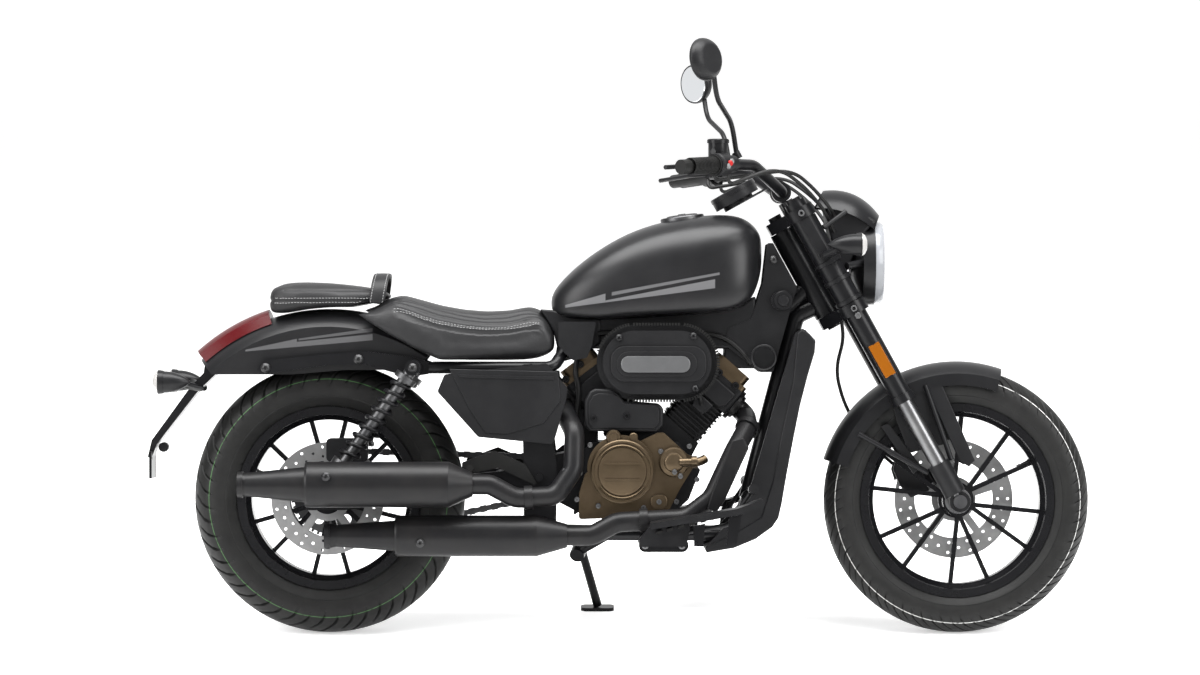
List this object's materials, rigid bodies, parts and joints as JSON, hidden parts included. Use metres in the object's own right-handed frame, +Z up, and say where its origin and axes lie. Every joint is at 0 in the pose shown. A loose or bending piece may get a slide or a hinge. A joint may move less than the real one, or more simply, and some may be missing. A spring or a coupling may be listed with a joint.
{
  "type": "cruiser motorcycle",
  "caption": "Low cruiser motorcycle with a V-engine, teardrop tank, stepped seats, stacked silencers and cast wheels, parked on its side stand.",
  "frame": {"origin": "middle of the bounding box's bottom, on the ground under the machine", "axes": "+X forward along the wheelbase, +Y to the rider's left, the side it leans to, +Z up"},
  "size_m": [2.101, 0.9492, 1.3467],
  "materials": {
    "tyre": "matte",
    "cast_wheel": "satin",
    "steel": "satin",
    "chrome": "polished",
    "black_steel": "satin",
    "black_alloy": "satin",
    "bronze": "satin",
    "tank_paint": "satin",
    "black_plastic": "matte",
    "body_paint": "satin",
    "seat_cover": "matte",
    "rubber": "matte",
    "red_lens": "gloss",
    "clear_lens": "gloss"
  },
  "bodies": {
    "chassis": {"frame": "black_steel", "swingarm": "black_steel", "rear_axle": "steel", "shock_dampers": "chrome", "shock_springs": "black_steel", "engine_case": "black_alloy", "clutch_cover": "bronze", "cylinders": "black_alloy", "head_covers": "bronze", "air_cleaner": "black_plastic", "intake_cover": "black_plastic", "exhaust_pipes": "black_steel", "silencers": "black_steel", "fuel_tank": "tank_paint", "fuel_cap": "black_alloy", "rider_seat": "seat_cover", "pillion_seat": "seat_cover", "rear_fender": "body_paint", "tail_lamp": "red_lens", "fender_struts": "black_steel", "plate_holder": "black_plastic", "rear_signals": "black_plastic", "side_covers": "black_plastic", "head_cowls": "black_plastic", "radiator": "black_alloy", "front_cowl": "black_plastic", "footboards": "black_alloy", "foot_levers": "black_steel", "pillion_pegs": "black_alloy", "rear_caliper": "black_alloy", "drive_chain": "steel", "grab_strap": "seat_cover", "neck_covers": "black_plastic"},
    "steering": {"yokes": "black_alloy", "fork_tubes": "black_alloy", "fork_sliders": "chrome", "fork_feet": "black_alloy", "front_axle": "steel", "handlebar": "black_steel", "grips": "rubber", "controls": "black_plastic", "mirrors": "black_plastic", "gauge": "black_plastic", "headlamp": "black_plastic", "headlamp_lens": "clear_lens", "lamp_cowl": "black_plastic", "front_signals": "black_plastic", "front_fender": "body_paint", "front_caliper": "black_alloy", "cables": "rubber"},
    "front_wheel": {"front_rim": "cast_wheel", "front_tyre": "tyre", "front_disc": "steel"},
    "rear_wheel": {"rear_rim": "cast_wheel", "rear_tyre": "tyre", "rear_disc": "steel", "rear_sprocket": "steel"},
    "side_stand": {"side_stand": "black_steel"}
  },
  "joints": [
    {"name": "steering_turn", "type": "hinge", "parent": "chassis", "child": "steering", "pos_m": [0.41539, -0.06247, 0.79711], "axis": [-0.4833, 0.1218, 0.8669], "range_deg": [-36, 36]},
    {"name": "front_wheel_spin", "type": "hinge", "parent": "steering", "child": "front_wheel", "pos_m": [0.753, -0.13319, 0.29394], "axis": [0, 0.9903, -0.1392], "continuous": true},
    {"name": "rear_wheel_spin", "type": "hinge", "parent": "chassis", "child": "rear_wheel", "pos_m": [-0.647, -0.13235, 0.29988], "axis": [0, 0.9903, -0.1392], "continuous": true},
    {"name": "side_stand_fold", "type": "hinge", "parent": "chassis", "child": "side_stand", "pos_m": [-0.087, -0.0001, 0.16314], "axis": [0.2325, 0.8642, 0.4462], "range_deg": [0, 95]}
  ]
}
